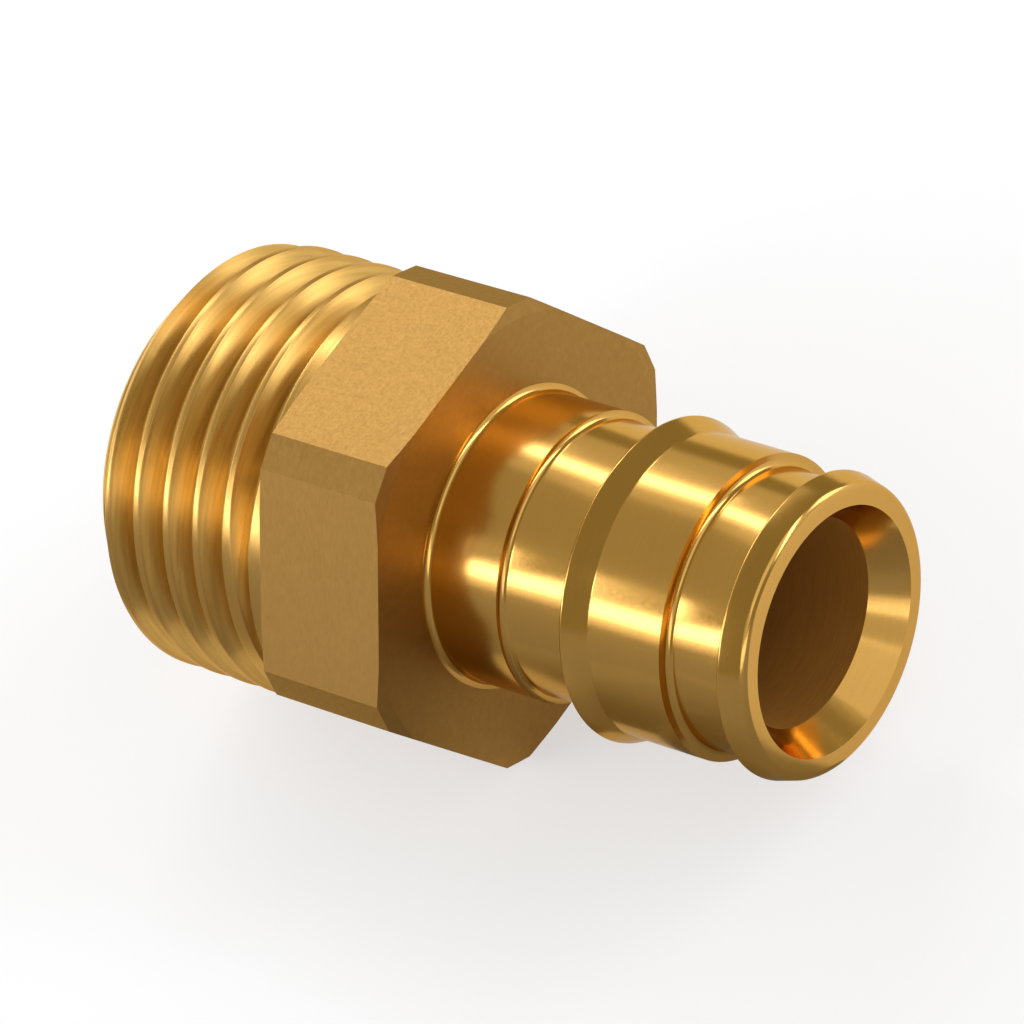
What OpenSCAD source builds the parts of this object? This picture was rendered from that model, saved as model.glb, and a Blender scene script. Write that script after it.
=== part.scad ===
// Brass pipe adapter in one piece: a male pipe thread, a wrench section with cut
// corners and a stepped nipple for an expanded plastic pipe. It lies on one wide
// wrench flat, with its axis along X and its nipple towards +X. The origin is on
// the ground, under the middle of the whole length.

/* [Thread] */
// Outside diameter of the male thread
thread_d = 20.955; // [20.805:0.05:21.405]
// Distance from one turn to the next
pitch = 1.814; // [1.414:0.1:2.314]
// Angle between the two flanks of a groove
flank_angle = 55; // [55:5:60]
// Length from the end of the thread to the wrench section
thread_len = 11; // [9:0.5:16]
// Diameter of the flat end, where the lead-in chamfer starts
thread_end_d = 17.9; // [16.9:0.1:18.5]
// Plain stretch between the wrench section and the middle of the last groove
shank_len = 1.385; // [1.285:0.1:1.985]
// Turn over which the last groove fades out, in degrees
runout = 75; // [45:5:105]

/* [Wrench section] */
// Width across the wide flats
across_flats = 21; // [20.6:0.1:22]
// Width across the narrow flats that cut the corners
across_corners = 23.25; // [22.5:0.05:23.75]
// Length of the wrench section
wrench_len = 7; // [5:0.5:12]
// Diameter of the flat ring on each end face, inside the corner chamfer
face_d = 21.8; // [21.2:0.1:22.2]
// Slope of the corner chamfer against the end face
corner_slope = 10; // [5:1:30]

/* [Nipple] */
// Length from the wrench section to the mouth
nipple_len = 18; // [17:0.5:24]
// Diameter of the collar next to the wrench section
collar_d = 14; // [13.6:0.1:15]
// Length of the collar
collar_len = 4.05; // [2.55:0.5:5.55]
// Diameter of the two necks
neck_d = 13.25; // [12.25:0.1:13.35]
// Crest diameter of the middle rib
rib_d = 15.5; // [15:0.1:16.2]
// Distance from the wrench section to the rib's sharp rear edge
rib_start = 8.2; // [7.2:0.1:8.6]
// Slope of the rib's front against the axis
rib_slope = 24; // [16:1:40]
// Diameter of the long land that carries the pipe, and of the rim
land_d = 14.5; // [14:0.1:14.7]
// Distance from the wrench section to the front edge of the land
land_end = 13.5; // [12:0.5:14.5]
// Length of the rim from its sharp rear edge to the mouth
rim_len = 1.35; // [1.05:0.1:2.05]
// Slope of the rim's front against the axis
rim_slope = 15.5; // [10:0.5:20]
// Rounding of the rim's front edge
rim_round = 0.45; // [0.25:0.05:0.5]
// Rounding of the two sharp crests
crest_round = 0.12; // [0.06:0.02:0.16]
// Hollow rounding at the foot of each step
foot_round = 0.35; // [0.15:0.05:0.4]

/* [Waterway] */
// Diameter of the straight bore
bore_d = 9.9; // [8:0.1:10.5]
// Diameter of the countersink at the mouth
mouth_d = 11.85; // [11.05:0.1:12.25]
// Half angle of the countersink
mouth_angle = 30; // [30:5:45]
// Width of the chamfer where the bore leaves the threaded end
inlet_chamfer = 0.5; // [0.2:0.1:1]

/* [Hidden] */

$fn = 96;
// Small overlap that lets a cutter run past a face
past = 1;

thread_r = thread_d / 2;
thread_end = -wrench_len - thread_len;

// Thread form with rounded crests and roots: a sharp triangle, of which a sixth
// is cut from the top and from the bottom, and the arcs that touch its flanks
half_flank = flank_angle / 2;
sharp_depth = pitch / 2 / tan(half_flank);
cut_depth = sharp_depth / 6;
groove_depth = sharp_depth - 2 * cut_depth;
arc_r = cut_depth / (1 / sin(half_flank) - 1);
arc_tilt = 90 - half_flank;

// Columns around the thread, each a line of points from end to end
columns = 60;
turns = ceil((thread_len - shank_len) / pitch) + 1;
// Angle at which the last groove starts to fade out
runout_start = 217;
// The faded groove keeps this share of its width, at no depth
least_width = 0.1;

// A point of a crest or root arc, as [distance along the axis, rise]
function arc_point(tilt) = [arc_r * sin(tilt), arc_r * (1 - cos(tilt))];

// One groove from the crest before it to just short of the next, as
// [distance from its middle, depth]
groove = [
    for (tilt = [0, arc_tilt / 2, arc_tilt]) arc_point(tilt) - [pitch / 2, 0],
    for (tilt = [-arc_tilt : arc_tilt * 2 / 3 : arc_tilt + 1])
        [arc_point(tilt)[0], groove_depth - arc_point(tilt)[1]],
    for (tilt = [-arc_tilt, -arc_tilt / 2]) arc_point(tilt) + [pitch / 2, 0]
];

// Share of the full groove that is left at an angle of the last turn
function groove_share(angle) = min(1, max(0, 1 - (angle - runout_start) / runout));

// Height of the groove's middle at an angle of one turn
function groove_z(angle, turn) =
    -wrench_len - shank_len + pitch * ((angle - runout_start) / 360 + turn - turns + 1);

function on_circle(r, angle, z) = [r * cos(angle), r * sin(angle), z];

// The points of one column: the far end, each turn's groove, the last crest and the near end
function column_points(angle) = [
    on_circle(thread_r - groove_depth, angle, thread_end - 3 * pitch),
    for (turn = [0 : turns - 1])
        let (share = turn == turns - 1 ? groove_share(angle) : 1)
            for (p = groove)
                on_circle(thread_r - p[1] * share, angle,
                    groove_z(angle, turn) + p[0] * max(share, least_width)),
    on_circle(thread_r, angle,
        groove_z(angle, turns - 1) + pitch / 2 * max(groove_share(angle), least_width)),
    on_circle(thread_r, angle, -wrench_len / 2)
];

rows = turns * len(groove) + 3;
function column_rows(column) = [for (row = [0 : rows - 1]) column * rows + row];

// Triangles between two lines of points, without those that a doubled point closes up
function ribbon(a, b) = [
    for (i = [0 : len(a) - 2])
        for (t = [[a[i], a[i + 1], b[i + 1]], [a[i], b[i + 1], b[i]]])
            if (t[0] != t[1] && t[1] != t[2] && t[2] != t[0]) t
];

// Rounded corner of an outline: arc_steps points from angle a to angle b
arc_steps = 6;
function corner(centre, r, a, b) = [
    for (i = [0 : arc_steps])
        let (angle = a + (b - a) * i / arc_steps)
            centre + r * [cos(angle), sin(angle)]
];

// Where the rounding of a sharp rear crest passes into the slope in front of it
function crest_end(r, z, slope) = [r, z] + crest_round * [cos(slope) - 1, 1 + sin(slope)];

// The screw without its end cuts. The last column meets the first one turn further on.
module screw() {
    step = len(groove);
    first = column_rows(0);
    last = column_rows(columns - 1);
    doubled = [for (i = [1 : step]) 1];
    polyhedron(
        points = [
            for (column = [0 : columns - 1]) each column_points(column * 360 / columns)
        ],
        faces = concat(
            [for (column = [0 : columns - 2])
                each ribbon(column_rows(column), column_rows(column + 1))],
            ribbon(concat(doubled * last[0], last), concat(first, doubled * first[rows - 1])),
            [[for (column = [0 : columns - 1]) column * rows]],
            [[for (column = [columns - 1 : -1 : 0]) column * rows + rows - 1]]
        )
    );
}

// Male thread with a chamfered end; it runs on inside the wrench section
module thread() {
    reach = thread_r + past - thread_end_d / 2;
    intersection() {
        screw();
        rotate_extrude()
            polygon([
                [0, thread_end],
                [thread_end_d / 2, thread_end],
                [thread_r + past, thread_end + reach],
                [thread_r + past, 0],
                [0, 0]
            ]);
    }
}

// Prism with six flats at the given width across them, one flat facing X
module six_flats(width) {
    translate([0, 0, -wrench_len])
        rotate([0, 0, 30])
            cylinder(d = width / cos(30), h = wrench_len, $fn = 6);
}

// Wrench section: wide flats, narrow flats across the corners, chamfered at both ends
module wrench_section() {
    reach_r = across_corners;
    drop = (reach_r - face_d / 2) * tan(corner_slope);
    intersection() {
        six_flats(across_flats);
        rotate([0, 0, 30]) six_flats(across_corners);
        rotate_extrude()
            polygon([
                [0, 0],
                [face_d / 2, 0],
                [reach_r, -drop],
                [reach_r, -wrench_len + drop],
                [face_d / 2, -wrench_len],
                [0, -wrench_len]
            ]);
    }
}

// Stepped nipple: collar, neck, rib, land, neck and rim, from the wrench section out
module nipple() {
    neck_r = neck_d / 2;
    collar_r = collar_d / 2;
    collar_foot = min(foot_round, collar_r - neck_r);
    land_r = land_d / 2;
    rib_r = rib_d / 2;
    rib_end = crest_end(rib_r, rib_start, rib_slope);
    rib_foot = rib_end[1] + (rib_end[0] - land_r) / tan(rib_slope)
        + foot_round * tan(rib_slope / 2);
    rim_start = nipple_len - rim_len;
    rim_end = crest_end(land_r, rim_start, rim_slope);
    rim_edge_r = rim_end[0] - (nipple_len - rim_end[1]) * tan(rim_slope);
    rim_cut = rim_round * tan((90 - rim_slope) / 2);
    rotate_extrude()
        polygon([
            [0, -past],
            [collar_r + foot_round, -past],
            each corner([collar_r + foot_round, foot_round], foot_round, 270, 180),
            [collar_r, collar_len],
            each corner([neck_r + collar_foot, collar_len + collar_foot], collar_foot, 270, 180),
            each corner([neck_r + foot_round, rib_start - foot_round], foot_round, 180, 90),
            each corner([rib_r - crest_round, rib_start + crest_round], crest_round,
                -90, rib_slope),
            each corner([land_r + foot_round, rib_foot], foot_round, 180 + rib_slope, 180),
            [land_r, land_end],
            each corner([neck_r + foot_round, land_end + foot_round], foot_round, 270, 180),
            each corner([neck_r + foot_round, rim_start - foot_round], foot_round, 180, 90),
            each corner([land_r - crest_round, rim_start + crest_round], crest_round,
                -90, rim_slope),
            each corner([rim_edge_r - rim_cut, nipple_len - rim_round], rim_round,
                rim_slope, 90),
            [0, nipple_len]
        ]);
}

// Straight bore through the whole length, countersunk at the mouth and eased at the inlet
module waterway() {
    bore_r = bore_d / 2;
    mouth_r = mouth_d / 2;
    mouth_depth = (mouth_r - bore_r) / tan(mouth_angle);
    translate([0, 0, thread_end - past])
        cylinder(r = bore_r, h = nipple_len - thread_end + 2 * past);
    rotate_extrude()
        polygon([
            [0, nipple_len - mouth_depth],
            [bore_r, nipple_len - mouth_depth],
            [mouth_r + past * tan(mouth_angle), nipple_len + past],
            [0, nipple_len + past]
        ]);
    rotate_extrude()
        polygon([
            [0, thread_end + inlet_chamfer],
            [bore_r, thread_end + inlet_chamfer],
            [bore_r + inlet_chamfer + past, thread_end - past],
            [0, thread_end - past]
        ]);
}

module adapter_body() {
    color("#c79a4b")
        translate([0, 0, across_flats / 2])
            rotate([0, 90, 0])
                translate([0, 0, (wrench_len + thread_len - nipple_len) / 2])
                    difference() {
                        union() {
                            thread();
                            wrench_section();
                            nipple();
                        }
                        waterway();
                    }
}

adapter_body();
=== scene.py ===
"""Brass pipe adapter: male thread, wrench section and stepped nipple, lying on a wrench flat."""
import math

import bmesh
import bpy
from bpy.props import FloatProperty, FloatVectorProperty, IntProperty, PointerProperty
from mathutils import Matrix, Vector


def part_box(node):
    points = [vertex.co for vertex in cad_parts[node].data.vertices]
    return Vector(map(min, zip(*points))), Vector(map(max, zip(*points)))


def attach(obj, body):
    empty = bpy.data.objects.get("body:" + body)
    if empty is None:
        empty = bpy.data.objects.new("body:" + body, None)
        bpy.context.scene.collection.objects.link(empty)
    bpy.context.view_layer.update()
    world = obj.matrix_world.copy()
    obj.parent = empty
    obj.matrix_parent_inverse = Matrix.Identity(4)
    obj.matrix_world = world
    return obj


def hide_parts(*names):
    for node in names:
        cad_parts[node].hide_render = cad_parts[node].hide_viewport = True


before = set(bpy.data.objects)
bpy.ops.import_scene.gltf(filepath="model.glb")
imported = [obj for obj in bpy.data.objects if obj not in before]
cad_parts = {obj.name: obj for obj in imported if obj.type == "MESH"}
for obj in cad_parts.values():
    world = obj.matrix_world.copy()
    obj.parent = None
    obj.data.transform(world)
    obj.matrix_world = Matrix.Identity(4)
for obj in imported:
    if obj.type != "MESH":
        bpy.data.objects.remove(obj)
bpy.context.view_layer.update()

bl_info = {
    "name": "Brass Pipe Adapter",
    "version": (1, 0, 0),
    "blender": (4, 5, 0),
    "location": "View3D > Sidebar > Adapter",
    "description": "Adds a brass adapter for a plastic pipe, with its studio",
    "category": "Add Mesh",
}

BODY_LOW, BODY_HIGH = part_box("adapter_body")
AXIS_HEIGHT = (BODY_LOW[2] + BODY_HIGH[2]) / 2
THREAD_END = BODY_LOW[0]
MOUTH = BODY_HIGH[0]

WELD = 5e-7  # Points closer than this become one
BORE_MARGIN = 2e-6  # How far from the bore's radius a point of the bore may lie
CREST_BAND = (0.00018, 0.0001)  # Depths under the crest between which the crest's colour comes in
THREAD_GRAIN_TURN = 0.25  # Turns the gloss across the streaks of the thread
NARROWEST_GROOVE = 0.05  # Share of its width that the fading groove keeps
PAPER_ROUGHNESS = 0.9
GLOSSY_WHITE = 0.4  # Share of the floor's white that the metal sees
CARD_GREY = 0.38
STRIP_DISTANCE = 0.5
PANEL_DISTANCE = 0.6
LAMP_GAIN = 1.1


def length(name, description, default):
    """A size in metres that a user would change."""
    return FloatProperty(
        name=name, description=description, default=default, unit="LENGTH", precision=6
    )


def angle(name, description, default):
    """An angle that a user would change, given here in degrees."""
    return FloatProperty(
        name=name, description=description, default=math.radians(default), subtype="ANGLE"
    )


def colour(name, description, default):
    return FloatVectorProperty(
        name=name, description=description, default=default, subtype="COLOR", size=3, min=0, max=1
    )


def share(name, description, default):
    return FloatProperty(name=name, description=description, default=default, subtype="FACTOR")


class ThreadSizes(bpy.types.PropertyGroup):
    crest_radius: length("Crest Radius", "Outside radius of the thread", 0.0104775)
    pitch: length("Pitch", "Distance from one turn to the next", 0.001814)
    flank: angle("Half Flank Angle", "Angle between a flank and the square section", 27.5)
    edge_round: length("Edge Rounding", "Rounding of the crest's two edges", 0.00006)
    end_radius: length("End Radius", "Where the lead-in chamfer meets the end face", 0.00895)
    last_groove: length("Last Groove", "Place along X where the fading starts", -0.008385)
    fade_from: angle("Fade From", "Angle about X where the last groove starts to fade", 127)
    fade_over: angle("Fade Over", "Turn over which the last groove fades out", 75)
    inlet_chamfer: length("Inlet Chamfer", "Width of the chamfer at the bore's far end", 0.0005)
    columns: IntProperty(name="Columns", description="Columns around the thread", default=180)


class WrenchSizes(bpy.types.PropertyGroup):
    across_flats: length("Across Flats", "Width across the wide flats", 0.021)
    across_corners: length("Across Corners", "Width across the narrow flats", 0.02325)
    back: length("Back Face", "Place along X of the face towards the thread", -0.007)
    front: length("Front Face", "Place along X of the face towards the nipple", 0.0)
    face_radius: length("Face Radius", "Radius of the flat ring inside the corner chamfer", 0.0109)
    corner_slope: angle("Corner Slope", "Slope of the corner chamfer", 10)
    hollow_radius: length("Hollow Radius", "Hidden hollow that the nipple fills", 0.007)


class NippleSizes(bpy.types.PropertyGroup):
    collar_radius: length("Collar Radius", "Collar next to the wrench section", 0.007)
    collar_end: length("Collar End", "Place along X of the collar's edge", 0.00405)
    neck_radius: length("Neck Radius", "Radius of the two necks", 0.006625)
    rib_radius: length("Rib Radius", "Crest of the middle rib", 0.00775)
    rib_start: length("Rib Start", "Place along X of the rib's rear edge", 0.0082)
    rib_slope: angle("Rib Slope", "Slope of the rib's front", 24)
    land_radius: length("Land Radius", "Radius of the long land and of the rim", 0.00725)
    land_end: length("Land End", "Place along X of the land's front edge", 0.0135)
    rim_start: length("Rim Start", "Place along X of the rim's rear edge", 0.01665)
    rim_slope: angle("Rim Slope", "Slope of the rim's front", 15.5)
    rim_round: length("Rim Rounding", "Rounding of the rim's front edge", 0.00045)
    crest_round: length("Crest Rounding", "Rounding of the rib's and the rim's rear edge", 0.00012)
    foot_round: length("Foot Rounding", "Hollow rounding at the foot of each step", 0.00035)
    bore_radius: length("Bore Radius", "Straight bore", 0.00495)
    mouth_radius: length("Mouth Radius", "Countersink at the mouth", 0.005925)
    mouth_angle: angle("Mouth Angle", "Half angle of the countersink", 30)
    segments: IntProperty(name="Segments", description="Segments around the nipple", default=240)


class BrassFinish(bpy.types.PropertyGroup):
    turned: colour("Turned Brass", "Colour of the turned nipple", (0.62, 0.345, 0.085))
    # The flats' colour is darker than the turned brass: painted shade that tones down their
    # reflections of the lamps.
    milled: colour("Milled Brass With Painted Shade", "Colour of the flats", (0.4, 0.22, 0.06))
    # The end faces' colour is darker still: painted shade for the dim floor they mirror.
    faced_painted_shade: colour("Faced Brass With Painted Shade", "Colour of the end faces", (0.35, 0.185, 0.034))
    # The flanks' colour is lighter than the turned brass: painted light for the bright reflections
    # the flanks lack.
    flank: colour("Cut Brass With Painted Light", "Colour of the flanks and roots of the thread", (0.74, 0.45, 0.12))
    crest: colour("Crest Brass", "Colour of the thread's crests", (0.58, 0.33, 0.09))
    # The bore's deeper brown is painted shade of the hollow, on top of its rougher drilled finish.
    bore: colour("Drilled Brass With Painted Shade", "Colour inside the bore", (0.4, 0.18, 0.03))
    edge: colour("Edge Tint", "Tint of the metal where it is seen at a slant", (0.9, 0.75, 0.5))
    nipple_roughness: share("Nipple Roughness", "Roughness of the turned nipple", 0.17)
    thread_roughness: share("Thread Roughness", "Roughness of the cut thread", 0.32)
    flat_roughness: share("Flat Roughness", "Roughness of the milled flats", 0.42)
    face_roughness: share("Face Roughness", "Roughness of the end faces", 0.13)
    bore_roughness: share("Bore Roughness", "Roughness of the drilled bore", 0.5)


class StudioSettings(bpy.types.PropertyGroup):
    aim: FloatVectorProperty(
        name="Aim", description="Point that the camera looks at", size=3, unit="LENGTH",
        default=(-0.0011154, 0.0010051, 0.0107184), precision=6,
    )
    distance: length("Distance", "From the camera to the point it looks at", 0.3150324)
    azimuth: angle("Azimuth", "Turn of the camera about the upright", 52.66119)
    elevation: angle("Elevation", "Height of the camera above the horizon", 44.21254)
    roll: angle("Roll", "Lean of the camera about its own axis", -25.57501)
    lens: FloatProperty(name="Lens", description="Focal length", default=237.187, unit="CAMERA")
    floor_colour: colour("Floor", "Colour of the floor", (0.925, 0.92, 0.95))
    floor_white: share("Floor White", "Part of the seen floor that is plain white", 0.55)
    surround: colour("Surround", "Colour of the light all round", (0.365, 0.345, 0.228))
    lamp_tint: colour("Lamp Tint", "Colour of the lamps", (0.86, 0.89, 1.0))


def settings():
    return bpy.context.scene.adapter


def rounding(centre, radius, start, end, steps=8):
    """Points of an arc in the (x, r) half plane; start and end count from +r towards +x."""
    return [
        (
            centre[0] + radius * math.sin(start + (end - start) * i / steps),
            centre[1] + radius * math.cos(start + (end - start) * i / steps),
        )
        for i in range(steps + 1)
    ]


def hidden_seam():
    """Place along X, inside the wrench section, where the nipple and the thread end unseen."""
    wrench = settings().wrench
    return wrench.back * 0.9 + wrench.front * 0.1


def finish_mesh(bm, name, crease):
    """Welds and closes the shape, turns its faces outwards and marks its sharp edges."""
    bmesh.ops.remove_doubles(bm, verts=bm.verts, dist=WELD)
    bmesh.ops.dissolve_degenerate(bm, edges=bm.edges, dist=WELD)
    bmesh.ops.recalc_face_normals(bm, faces=bm.faces)
    open_edges = [e for e in bm.edges if len(e.link_faces) != 2]
    if open_edges:
        raise RuntimeError("%s has %d open edges" % (name, len(open_edges)))
    for face in bm.faces:
        face.smooth = True
    for edge in bm.edges:
        if edge.calc_face_angle(0) > crease:
            edge.smooth = False
    bmesh.ops.translate(bm, vec=(0, 0, AXIS_HEIGHT), verts=bm.verts)
    mesh = bpy.data.meshes.new(name)
    bm.to_mesh(mesh)
    bm.free()
    return mesh


def add_piece(name, mesh, *materials):
    """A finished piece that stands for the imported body."""
    piece = bpy.data.objects.new(name, mesh)
    bpy.context.scene.collection.objects.link(piece)
    for material in materials:
        mesh.materials.append(material)
    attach(piece, "root")
    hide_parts("adapter_body")
    return piece


def mark_bore(bm, radius):
    """Gives the faces of the straight bore the piece's second material."""
    for face in bm.faces:
        if all(abs(math.hypot(v.co.y, v.co.z) - radius) < BORE_MARGIN for v in face.verts):
            face.material_index = 1


def turn(bm, outline, segments):
    """Turns a closed outline of (x, r) points about the X axis."""
    verts = [bm.verts.new((x, 0, r)) for x, r in outline]
    edges = [bm.edges.new((verts[i - 1], verts[i])) for i in range(len(verts))]
    bmesh.ops.spin(
        bm, geom=verts + edges, cent=(0, 0, 0), axis=(1, 0, 0), dvec=(0, 0, 0),
        angle=math.tau, steps=segments, use_merge=True,
    )
    stray = [e for e in bm.edges if not e.link_faces]
    bmesh.ops.delete(bm, geom=stray, context="EDGES")


# Materials


def link(tree, output, socket):
    tree.links.new(output, socket)


def add_node(tree, kind, **values):
    node = tree.nodes.new(kind)
    for key, value in values.items():
        setattr(node, key, value)
    return node


def noise(tree, vector, scale, detail=2.0, roughness=0.5):
    node = add_node(tree, "ShaderNodeTexNoise")
    node.inputs["Scale"].default_value = scale
    node.inputs["Detail"].default_value = detail
    node.inputs["Roughness"].default_value = roughness
    link(tree, vector, node.inputs["Vector"])
    return node.outputs["Fac"]


def grained(tree, vector, size, lean=0.0):
    """Object coordinates measured in grains of a size in metres, leaning about the axis."""
    node = add_node(tree, "ShaderNodeMapping", vector_type="TEXTURE")
    node.inputs["Rotation"].default_value = (lean, 0, 0)
    node.inputs["Scale"].default_value = size
    link(tree, vector, node.inputs["Vector"])
    return node.outputs["Vector"]


def ranged(tree, value, low, high, from_low=0.3, from_high=0.7):
    node = add_node(tree, "ShaderNodeMapRange")
    node.inputs["From Min"].default_value = from_low
    node.inputs["From Max"].default_value = from_high
    node.inputs["To Min"].default_value = low
    node.inputs["To Max"].default_value = high
    link(tree, value, node.inputs["Value"])
    return node.outputs["Result"]


def brass(
    name, tone, roughness, spread, grain, fine, lean=0.0, depth=2e-7, shade=0.9,
    metal=1.0, anisotropic=0.0, crest_tone=None,
):
    """Brass with a long grain from the tool and a fine speckle, in its colour, gloss and height."""
    material = bpy.data.materials.new(name)
    material.use_nodes = True
    tree = material.node_tree
    shader = tree.nodes["Principled BSDF"]
    shader.inputs["Metallic"].default_value = metal
    shader.inputs["Specular Tint"].default_value = (*settings().brass.edge, 1)
    place = add_node(tree, "ShaderNodeTexCoord").outputs["Object"]
    streaks = noise(tree, grained(tree, place, grain, lean), 1.0, 3.0, 0.6)
    speckle = noise(tree, grained(tree, place, fine, lean), 1.0, 2.0, 0.5)
    mixed = add_node(tree, "ShaderNodeMix", data_type="RGBA")
    mixed.inputs["A"].default_value = (*(c * shade for c in tone), 1)
    mixed.inputs["B"].default_value = (*tone, 1)
    link(tree, ranged(tree, streaks, 0.0, 1.0), mixed.inputs["Factor"])
    colour_out = mixed.outputs["Result"]
    if crest_tone:
        # The crests are told from the flanks by their distance from the axis, so that the flanks'
        # lighter colour, which is painted light, stays off the crests
        across = add_node(tree, "ShaderNodeMapping")
        across.inputs["Location"].default_value = (0, 0, -AXIS_HEIGHT)
        across.inputs["Scale"].default_value = (0, 1, 1)
        link(tree, place, across.inputs["Vector"])
        radius = add_node(tree, "ShaderNodeVectorMath", operation="LENGTH")
        link(tree, across.outputs["Vector"], radius.inputs[0])
        low, high = (settings().thread.crest_radius - depth for depth in CREST_BAND)
        crested = add_node(tree, "ShaderNodeMix", data_type="RGBA")
        crested.inputs["B"].default_value = (*crest_tone, 1)
        link(tree, colour_out, crested.inputs["A"])
        link(
            tree, ranged(tree, radius.outputs["Value"], 0.0, 1.0, low, high),
            crested.inputs["Factor"],
        )
        colour_out = crested.outputs["Result"]
    link(tree, colour_out, shader.inputs["Base Color"])
    link(
        tree, ranged(tree, speckle, roughness - spread, roughness + spread),
        shader.inputs["Roughness"],
    )
    both = add_node(tree, "ShaderNodeMath", operation="ADD")
    link(tree, streaks, both.inputs[0])
    link(tree, speckle, both.inputs[1])
    relief = add_node(tree, "ShaderNodeBump")
    relief.inputs["Strength"].default_value = 1.0
    relief.inputs["Distance"].default_value = depth
    link(tree, both.outputs["Value"], relief.inputs["Height"])
    link(tree, relief.outputs["Normal"], shader.inputs["Normal"])
    if anisotropic:
        shader.inputs["Anisotropic"].default_value = anisotropic
        shader.inputs["Anisotropic Rotation"].default_value = THREAD_GRAIN_TURN
        around = add_node(tree, "ShaderNodeTangent", direction_type="RADIAL", axis="X")
        link(tree, around.outputs["Tangent"], shader.inputs["Tangent"])
    return material


def drilled_brass():
    """The dull inside of the bore, shared by the two pieces that it runs through; its deeper brown
    is painted shade inside the bore.
    """
    made = bpy.data.materials.get("Drilled Brass With Painted Shade")
    finish = settings().brass
    return made or brass(
        "Drilled Brass With Painted Shade", finish.bore, finish.bore_roughness, 0.06,
        grain=(0.0001, 0.0015, 0.0015), fine=(0.00012, 0.00012, 0.00012), metal=0.4, shade=0.8,
    )


# Pieces


class ADAPTER_OT_nipple(bpy.types.Operator):
    """Add the stepped nipple with its bore and countersink"""

    bl_idname = "adapter.nipple"
    bl_label = "Add Nipple"

    def outline(self, s, hidden_back):
        """The nipple from its hidden back end out over the steps, and back through the bore."""
        foot = s.foot_round
        crest = s.crest_round
        quarter = math.pi / 2
        front = settings().wrench.front
        neck_centre = s.neck_radius + foot
        collar_foot = min(foot, s.collar_radius - s.neck_radius)
        rib = rounding((s.rib_start + crest, s.rib_radius - crest), crest, -quarter, s.rib_slope)
        foot_x = (
            rib[-1][0]
            + (rib[-1][1] - s.land_radius) / math.tan(s.rib_slope)
            + foot * math.tan(s.rib_slope / 2)
        )
        rim = rounding((s.rim_start + crest, s.land_radius - crest), crest, -quarter, s.rim_slope)
        edge_radius = rim[-1][1] - (MOUTH - rim[-1][0]) * math.tan(s.rim_slope)
        edge_radius -= s.rim_round * math.tan((quarter - s.rim_slope) / 2)
        sink_depth = (s.mouth_radius - s.bore_radius) / math.tan(s.mouth_angle)
        return [
            (hidden_back, s.collar_radius + foot),
            *rounding((front + foot, s.collar_radius + foot), foot, -quarter, -math.pi),
            (s.collar_end, s.collar_radius),
            *rounding(
                (s.collar_end + collar_foot, s.neck_radius + collar_foot), collar_foot,
                -quarter, -math.pi,
            ),
            *rounding((s.rib_start - foot, neck_centre), foot, math.pi, quarter),
            *rib,
            *rounding(
                (foot_x, s.land_radius + foot), foot, s.rib_slope - math.pi, -math.pi, 3
            ),
            (s.land_end, s.land_radius),
            *rounding((s.land_end + foot, neck_centre), foot, -quarter, -math.pi),
            *rounding((s.rim_start - foot, neck_centre), foot, math.pi, quarter),
            *rim,
            *rounding((MOUTH - s.rim_round, edge_radius), s.rim_round, s.rim_slope, quarter, 12),
            (MOUTH, s.mouth_radius),
            (MOUTH - sink_depth, s.bore_radius),
            (hidden_back, s.bore_radius),
        ]

    def execute(self, context):
        sizes = settings().nipple
        bm = bmesh.new()
        turn(bm, self.outline(sizes, hidden_seam()), sizes.segments)
        mark_bore(bm, sizes.bore_radius)
        mesh = finish_mesh(bm, "nipple", math.radians(25))
        finish = settings().brass
        add_piece(
            "nipple", mesh,
            brass(
                "Turned Brass", finish.turned, finish.nipple_roughness, 0.02,
                grain=(0.00011, 0.002, 0.002), fine=(0.00012, 0.00012, 0.00012),
                depth=1e-8, shade=0.96,
            ),
            drilled_brass(),
        )
        return {"FINISHED"}


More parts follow.
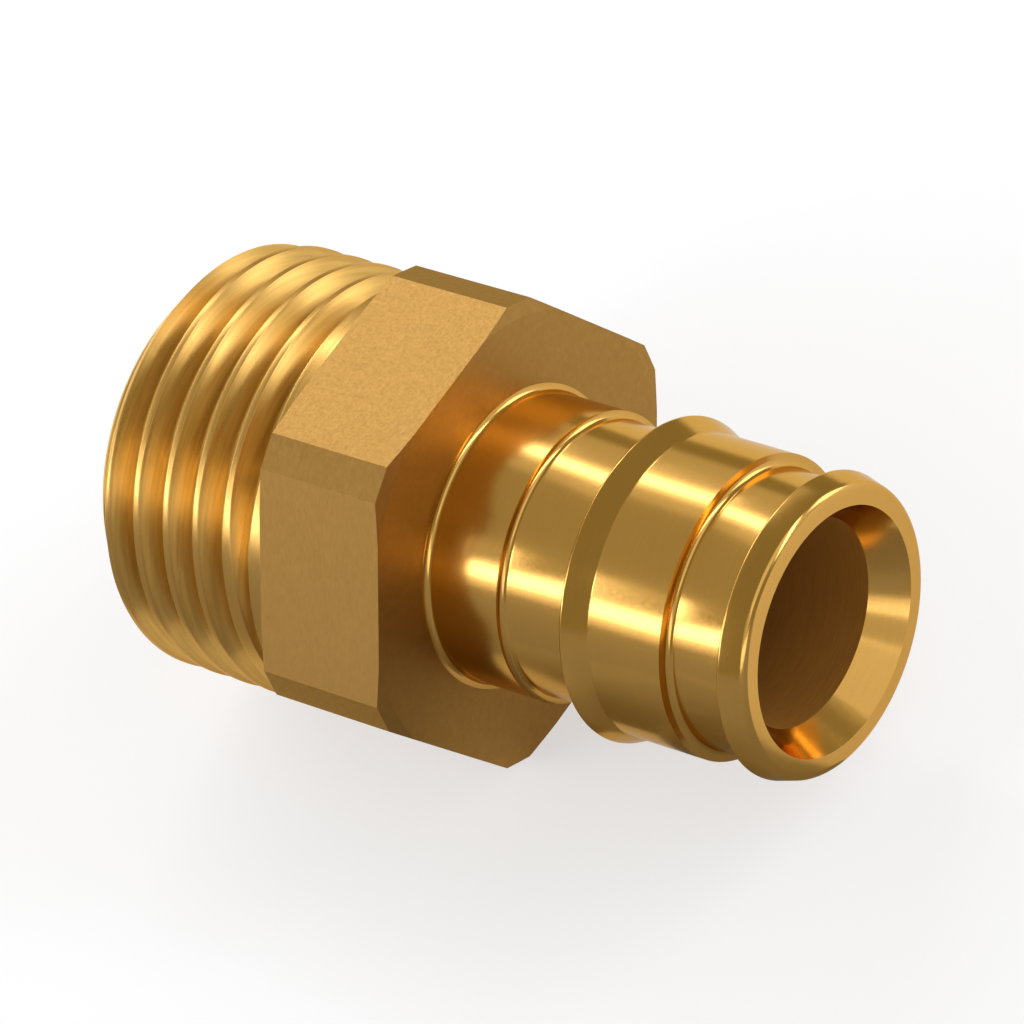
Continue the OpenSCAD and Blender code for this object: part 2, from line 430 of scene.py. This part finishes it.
class ADAPTER_OT_wrench_section(bpy.types.Operator):
    """Add the wrench section with its wide flats, narrow flats and corner chamfers"""

    bl_idname = "adapter.wrench_section"
    bl_label = "Add Wrench Section"

    def prism(self, s):
        """Six wide flats, with the corners cut by six narrow ones."""
        bm = bmesh.new()
        middle = (s.back + s.front) / 2
        sharp_corner = s.across_flats / 2 / math.cos(math.pi / 6)
        bmesh.ops.create_cone(
            bm, cap_ends=True, cap_tris=False, segments=6,
            radius1=sharp_corner, radius2=sharp_corner, depth=(s.front - s.back) * 1.5,
        )
        along_x = Matrix.Rotation(math.pi / 2, 3, "Y")
        bmesh.ops.rotate(bm, cent=(0, 0, 0), matrix=along_x, verts=bm.verts)
        bmesh.ops.translate(bm, vec=(middle, 0, 0), verts=bm.verts)
        for i in range(6):
            lean = math.pi / 3 * i
            way = Vector((0, math.cos(lean), math.sin(lean)))
            cut = bmesh.ops.bisect_plane(
                bm, geom=bm.verts[:] + bm.edges[:] + bm.faces[:], dist=1e-7,
                plane_co=way * s.across_corners / 2, plane_no=way, clear_outer=True,
            )
            edges = [e for e in cut["geom_cut"] if isinstance(e, bmesh.types.BMEdge)]
            bmesh.ops.edgenet_fill(bm, edges=edges)
        bmesh.ops.recalc_face_normals(bm, faces=bm.faces)
        return bm

    def lathe_body(self, s, segments):
        """What the lathe leaves: the two faces, the corner chamfers and the hidden hollow."""
        bm = bmesh.new()
        reach = s.across_corners
        drop = (reach - s.face_radius) * math.tan(s.corner_slope)
        turn(
            bm,
            [
                (s.front, s.hollow_radius),
                (s.front, s.face_radius),
                (s.front - drop, reach),
                (s.back + drop, reach),
                (s.back, s.face_radius),
                (s.back, s.hollow_radius),
            ],
            segments,
        )
        bmesh.ops.recalc_face_normals(bm, faces=bm.faces)
        return bm

    def execute(self, context):
        s = settings().wrench
        made = []
        for name, bm in (("prism", self.prism(s)), ("lathe_body", self.lathe_body(s, 360))):
            mesh = bpy.data.meshes.new(name)
            bm.to_mesh(mesh)
            bm.free()
            made.append(bpy.data.objects.new(name, mesh))
            context.scene.collection.objects.link(made[-1])
        cut = made[0].modifiers.new("cut", "BOOLEAN")
        cut.operation = "INTERSECT"
        cut.solver = "EXACT"
        cut.object = made[1]
        context.view_layer.update()
        cut_mesh = bpy.data.meshes.new_from_object(
            made[0].evaluated_get(context.evaluated_depsgraph_get())
        )
        bm = bmesh.new()
        bm.from_mesh(cut_mesh)
        for piece in made:
            old = piece.data
            bpy.data.objects.remove(piece)
            bpy.data.meshes.remove(old)
        bpy.data.meshes.remove(cut_mesh)
        # Flats and end faces get two darker copies of the brass, painted shade, each with its own
        # gloss and grain.
        for face in bm.faces:
            face.material_index = 1 if abs(face.normal.x) > 0.999 else 0
        mesh = finish_mesh(bm, "wrench_section", math.radians(4))
        mesh.materials.clear()
        finish = settings().brass
        add_piece(
            "wrench_section", mesh,
            brass(
                "Milled Brass With Painted Shade", finish.milled, finish.flat_roughness, 0.05,
                grain=(0.00016, 0.0005, 0.0005), fine=(0.00016, 0.00016, 0.00016), depth=8e-7,
                shade=0.88,
            ),
            brass(
                "Faced Brass With Painted Shade", finish.faced_painted_shade, finish.face_roughness, 0.04,
                grain=(0.001, 0.00016, 0.006), fine=(0.0002, 0.00016, 0.003),
                lean=math.radians(-30), depth=4e-7, shade=0.8,
            ),
        )
        return {"FINISHED"}


class ADAPTER_OT_thread(bpy.types.Operator):
    """Add the male thread with its lead-in chamfer, its fading last groove and its end face"""

    bl_idname = "adapter.thread"
    bl_label = "Add Male Thread"

    def groove(self, s):
        """(distance from the middle, depth) of one groove: flat crests and a rounded root."""
        sharp = s.pitch / 2 / math.tan(s.flank)
        cut = sharp / 6
        depth = sharp - 2 * cut
        r = cut / (1 / math.sin(s.flank) - 1)
        tilt = math.pi / 2 - s.flank
        e = s.edge_round
        edge = cut * math.tan(s.flank) - e * math.tan(tilt / 2) - s.pitch / 2
        before = [
            (-s.pitch / 2, 0),
            *(
                (edge + e * math.sin(tilt * i / 3), e * (1 - math.cos(tilt * i / 3)))
                for i in range(4)
            ),
        ]
        root = [
            (r * math.sin(tilt * i / 5), depth - r * (1 - math.cos(tilt * i / 5)))
            for i in range(-5, 6)
        ]
        return before + root + [(-x, d) for x, d in reversed(before)]

    def execute(self, context):
        s = settings().thread
        hidden_front = hidden_seam()
        bore_radius = settings().nipple.bore_radius
        groove = self.groove(s)
        fade = s.fade_over / math.tau
        first = math.floor((THREAD_END - s.last_groove) / s.pitch) - 1
        last = math.ceil((hidden_front - s.last_groove) / s.pitch) + 1
        bm = bmesh.new()
        # The thread unrolled: x along the axis, y the share of a turn, z the radius
        which = bm.verts.layers.int.new("turn")
        verts = []
        for turns in range(first, last):
            for x, d in groove:
                verts.append(
                    bm.verts.new((s.last_groove + s.pitch * turns + x, 0, s.crest_radius - d))
                )
                verts[-1][which] = turns
        edges = [bm.edges.new((a, b)) for a, b in zip(verts, verts[1:])]
        bmesh.ops.spin(
            bm, geom=verts + edges, cent=(0, 0, 0), axis=(1, 0, 0),
            dvec=(s.pitch / s.columns, 1 / s.columns, 0), angle=0, steps=s.columns,
        )
        # The last groove gets narrow and shallow from the place where the tool leaves
        for v in bm.verts:
            past = v.co.y + v[which]
            if past <= 0:
                continue
            left = max(0.0, 1 - past / fade)
            middle = s.last_groove + s.pitch * past
            v.co.x = middle + (v.co.x - middle) * max(left, NARROWEST_GROOVE)
            v.co.z = s.crest_radius - (s.crest_radius - v.co.z) * left
        # Lead-in chamfer, then both ends
        slant = Vector((-1, 0, 1)).normalized()
        everything = bm.verts[:] + bm.edges[:] + bm.faces[:]
        bmesh.ops.bisect_plane(
            bm, geom=everything, dist=1e-8, plane_co=(THREAD_END, 0, s.end_radius), plane_no=slant
        )
        for v in bm.verts:
            v.co.z = min(v.co.z, s.end_radius + v.co.x - THREAD_END)
        for place, way in ((THREAD_END, -1), (hidden_front, 1)):
            everything = bm.verts[:] + bm.edges[:] + bm.faces[:]
            bmesh.ops.bisect_plane(
                bm, geom=everything, dist=1e-8, plane_co=(place, 0, 0), plane_no=(way, 0, 0),
                clear_outer=True,
            )
        # Rolled up about the axis
        for v in bm.verts:
            around = s.fade_from + math.tau * v.co.y
            v.co = (v.co.x, v.co.z * math.cos(around), v.co.z * math.sin(around))
        bmesh.ops.remove_doubles(bm, verts=bm.verts, dist=WELD)
        ends = {}
        for place in (THREAD_END, hidden_front):
            ends[place] = [
                e for e in bm.edges
                if len(e.link_faces) == 1 and all(abs(v.co.x - place) < 1e-6 for v in e.verts)
            ]
        # End face, inlet chamfer and bore
        edges = ends[THREAD_END]
        for x, r in (
            (THREAD_END, bore_radius + s.inlet_chamfer),
            (THREAD_END + s.inlet_chamfer, bore_radius),
            (hidden_front, bore_radius),
        ):
            made = bmesh.ops.extrude_edge_only(bm, edges=edges)["geom"]
            edges = [g for g in made if isinstance(g, bmesh.types.BMEdge)]
            for v in (g for g in made if isinstance(g, bmesh.types.BMVert)):
                scale = r / math.hypot(v.co.y, v.co.z)
                v.co = (x, v.co.y * scale, v.co.z * scale)
        bmesh.ops.bridge_loops(bm, edges=edges + ends[hidden_front])
        mark_bore(bm, bore_radius)
        mesh = finish_mesh(bm, "thread", math.radians(30))
        finish = settings().brass
        add_piece(
            "thread", mesh,
            brass(
                "Threaded Brass With Painted Light", finish.flank, finish.thread_roughness, 0.05,
                grain=(0.00014, 0.006, 0.006), fine=(0.00014, 0.004, 0.004),
                depth=5e-8, shade=0.7, anisotropic=0.7, crest_tone=finish.crest,
            ),
            drilled_brass(),
        )
        return {"FINISHED"}


class ADAPTER_OT_studio(bpy.types.Operator):
    """Add the floor, the soft lights and the camera"""

    bl_idname = "adapter.studio"
    bl_label = "Add Studio"

    def floor(self, s):
        bm = bmesh.new()
        bmesh.ops.create_grid(bm, x_segments=1, y_segments=1, size=1.5)
        mesh = bpy.data.meshes.new("floor")
        bm.to_mesh(mesh)
        bm.free()
        floor = bpy.data.objects.new("floor", mesh)
        bpy.context.scene.collection.objects.link(floor)
        floor.location.z = -0.00001
        paper = bpy.data.materials.new("Pale Paper")
        paper.use_nodes = True
        shader = paper.node_tree.nodes["Principled BSDF"]
        shader.inputs["Base Color"].default_value = (*s.floor_colour, 1)
        shader.inputs["Roughness"].default_value = PAPER_ROUGHNESS
        shader.inputs["Specular IOR Level"].default_value = 0.1
        # Seen by the camera or in the metal, the paper is nearly white; its shadow stays
        tree = paper.node_tree
        path = add_node(tree, "ShaderNodeLightPath")
        seen = add_node(tree, "ShaderNodeMath", operation="MAXIMUM")
        link(tree, path.outputs["Is Camera Ray"], seen.inputs[0])
        dimmed = add_node(tree, "ShaderNodeMath", operation="MULTIPLY")
        link(tree, path.outputs["Is Glossy Ray"], dimmed.inputs[0])
        dimmed.inputs[1].default_value = GLOSSY_WHITE
        link(tree, dimmed.outputs["Value"], seen.inputs[1])
        part = add_node(tree, "ShaderNodeMath", operation="MULTIPLY")
        link(tree, seen.outputs["Value"], part.inputs[0])
        part.inputs[1].default_value = s.floor_white
        white = add_node(tree, "ShaderNodeEmission")
        mix = add_node(tree, "ShaderNodeMixShader")
        link(tree, part.outputs["Value"], mix.inputs["Fac"])
        link(tree, shader.outputs["BSDF"], mix.inputs[1])
        link(tree, white.outputs["Emission"], mix.inputs[2])
        link(tree, mix.outputs["Shader"], tree.nodes["Material Output"].inputs["Surface"])
        paper.cycles.emission_sampling = "NONE"
        mesh.materials.append(paper)

    def softbox(self, name, azimuth, elevation, distance, along, width, height, radiance):
        """A soft lamp that faces the part; azimuth from +X towards +Y, moved by along on X."""
        a, e = math.radians(azimuth), math.radians(elevation)
        place = Vector((along, 0, 0)) + distance * Vector(
            (math.cos(a) * math.cos(e), math.sin(a) * math.cos(e), math.sin(e))
        )
        way = place.normalized()
        side = Vector((1, 0, 0)) if azimuth == 90 else Vector((-way.y, way.x, 0))
        side = (side - way * side.dot(way)).normalized()
        light = bpy.data.lights.new(name, "AREA")
        light.shape = "RECTANGLE"
        light.color = settings().studio.lamp_tint
        light.size, light.size_y = width, height
        light.energy = LAMP_GAIN * radiance * math.pi * width * height
        lamp = bpy.data.objects.new(name, light)
        bpy.context.scene.collection.objects.link(lamp)
        place.z += AXIS_HEIGHT
        lamp.matrix_world = Matrix.Translation(place) @ Matrix(
            (side, way.cross(side), way)
        ).transposed().to_4x4()
        lamp.visible_camera = False

    def painted_shade_card(self):
        """A grey card low in front of the part, seen only in the metal, where it paints shade into
        the lower reflections.
        """
        bm = bmesh.new()
        bmesh.ops.create_grid(bm, x_segments=5, y_segments=1, size=0.5)
        # Its near edge keeps clear of the flats and reaches under the nipple
        near_edge = (
            (-0.3, -0.018), (-0.007, -0.018), (0.001, -0.0085),
            (0.0065, -0.0085), (0.0085, -0.001), (0.3, -0.001),
        )
        for v in bm.verts:
            near = v.co.y > 0
            x, y = near_edge[round((v.co.x + 0.5) * 5)]
            v.co = (x, y if near else -0.12, 0.0004 if near else 0.03)
        mesh = bpy.data.meshes.new("painted_shade_card")
        bm.to_mesh(mesh)
        bm.free()
        card = bpy.data.objects.new("painted_shade_card", mesh)
        bpy.context.scene.collection.objects.link(card)
        card_paper = bpy.data.materials.new("Grey Card For Painted Shade")
        card_paper.use_nodes = True
        shader = card_paper.node_tree.nodes["Principled BSDF"]
        shader.inputs["Base Color"].default_value = (CARD_GREY, CARD_GREY, CARD_GREY, 1)
        shader.inputs["Roughness"].default_value = PAPER_ROUGHNESS
        mesh.materials.append(card_paper)
        # Hidden from the camera, from diffuse light and from shadows, the card is only a painted
        # reflection of shade.
        card.visible_camera = False
        card.visible_diffuse = False
        card.visible_shadow = False

    def camera(self, s):
        camera = bpy.data.objects.new("camera", bpy.data.cameras.new("camera"))
        bpy.context.scene.collection.objects.link(camera)
        camera.data.lens = s.lens
        camera.data.sensor_width = 36
        camera.data.clip_start = 0.01
        turned = (
            Matrix.Rotation(s.azimuth, 4, "Z")
            @ Matrix.Rotation(math.pi / 2 - s.elevation, 4, "X")
            @ Matrix.Rotation(s.roll, 4, "Z")
        )
        back = turned.to_3x3() @ Vector((0, 0, 1))
        camera.matrix_world = Matrix.Translation(Vector(s.aim) + back * s.distance) @ turned
        bpy.context.scene.camera = camera

    def execute(self, context):
        s = settings().studio
        scene = context.scene
        scene.view_settings.view_transform = "Standard"
        self.floor(s)
        self.painted_shade_card()
        # Long strips and panels over the part, at an angle from +Y towards +Z
        for name, around, along, reach, degrees, radiance in (
            ("back strip", 53, -0.48, 0.78, 9.5, 5.5),
            ("back strip glow", 53, -0.48, 0.78, 20, 0.9),
            ("back strip halo", 44, -0.45, 0.8, 60, 0.42),
            ("front strip", 155, -0.48, 0.78, 13, 5.0),
            ("front strip glow", 157, -0.48, 0.78, 26, 0.95),
            ("back mouth strip", 50, 0.5, 0.5, 14, 6.5),
            ("front mouth strip", 161, 0.5, 0.5, 22, 1.8),
            ("front thread strip", 139, -0.19, 0.12, 14, 6),
            ("back thread strip", 42, -0.19, 0.12, 9, 3),
            ("top panel", 102, -0.45, 0.8, 76, 0.18),
        ):
            width = math.tan(math.radians(degrees / 2))
            self.softbox(name, 90, around, STRIP_DISTANCE, along, reach, width, radiance)
        # Panels round the part, by azimuth and elevation
        for name, azimuth, elevation, width, height, radiance in (
            ("mouth panel", 0, 52, 0.7, 0.34, 0.8),
            ("mouth side panel", -50, 32, 0.35, 0.35, 0.45),
            ("far side panel", 60, 8, 0.26, 0.34, 3.4),
            ("near side panel", 30, 14, 0.3, 0.25, 0.5),
            ("end panel", 180, 15, 0.5, 0.25, 2.5),
        ):
            self.softbox(name, azimuth, elevation, PANEL_DISTANCE, 0, width, height, radiance)
        world = bpy.data.worlds.new("studio")
        world.use_nodes = True
        # Behind the floor the camera sees white; the surround lights the part
        tree = world.node_tree
        path = add_node(tree, "ShaderNodeLightPath")
        sky = add_node(tree, "ShaderNodeMix", data_type="RGBA")
        sky.inputs["A"].default_value = (*s.surround, 1)
        sky.inputs["B"].default_value = (1, 1, 1, 1)
        link(tree, path.outputs["Is Camera Ray"], sky.inputs["Factor"])
        link(tree, sky.outputs["Result"], tree.nodes["Background"].inputs["Color"])
        scene.world = world
        self.camera(s)
        return {"FINISHED"}


class ADAPTER_PT_panel(bpy.types.Panel):
    """Lists the pieces of the adapter and its studio"""

    bl_idname = "ADAPTER_PT_panel"
    bl_label = "Brass Pipe Adapter"
    bl_space_type = "VIEW_3D"
    bl_region_type = "UI"
    bl_category = "Adapter"

    def draw(self, context):
        for step in STEPS:
            self.layout.operator(step.bl_idname)
        for group in GROUPS:
            box = self.layout.box()
            values = getattr(settings(), group)
            box.label(text=group.capitalize())
            for name in values.__annotations__:
                box.prop(values, name)


class AdapterSettings(bpy.types.PropertyGroup):
    thread: PointerProperty(type=ThreadSizes)
    wrench: PointerProperty(type=WrenchSizes)
    nipple: PointerProperty(type=NippleSizes)
    brass: PointerProperty(type=BrassFinish)
    studio: PointerProperty(type=StudioSettings)


GROUPS = ("thread", "wrench", "nipple", "brass", "studio")
STEPS = (ADAPTER_OT_nipple, ADAPTER_OT_wrench_section, ADAPTER_OT_thread, ADAPTER_OT_studio)
CLASSES = (
    ThreadSizes, WrenchSizes, NippleSizes, BrassFinish, StudioSettings, AdapterSettings,
    *STEPS, ADAPTER_PT_panel,
)


def register():
    for cls in CLASSES:
        bpy.utils.register_class(cls)
    bpy.types.Scene.adapter = PointerProperty(type=AdapterSettings)


def unregister():
    del bpy.types.Scene.adapter
    for cls in reversed(CLASSES):
        bpy.utils.unregister_class(cls)


def main():
    register()
    bpy.ops.adapter.nipple()
    bpy.ops.adapter.wrench_section()
    bpy.ops.adapter.thread()
    bpy.ops.adapter.studio()


if __name__ == "__main__":
    main()
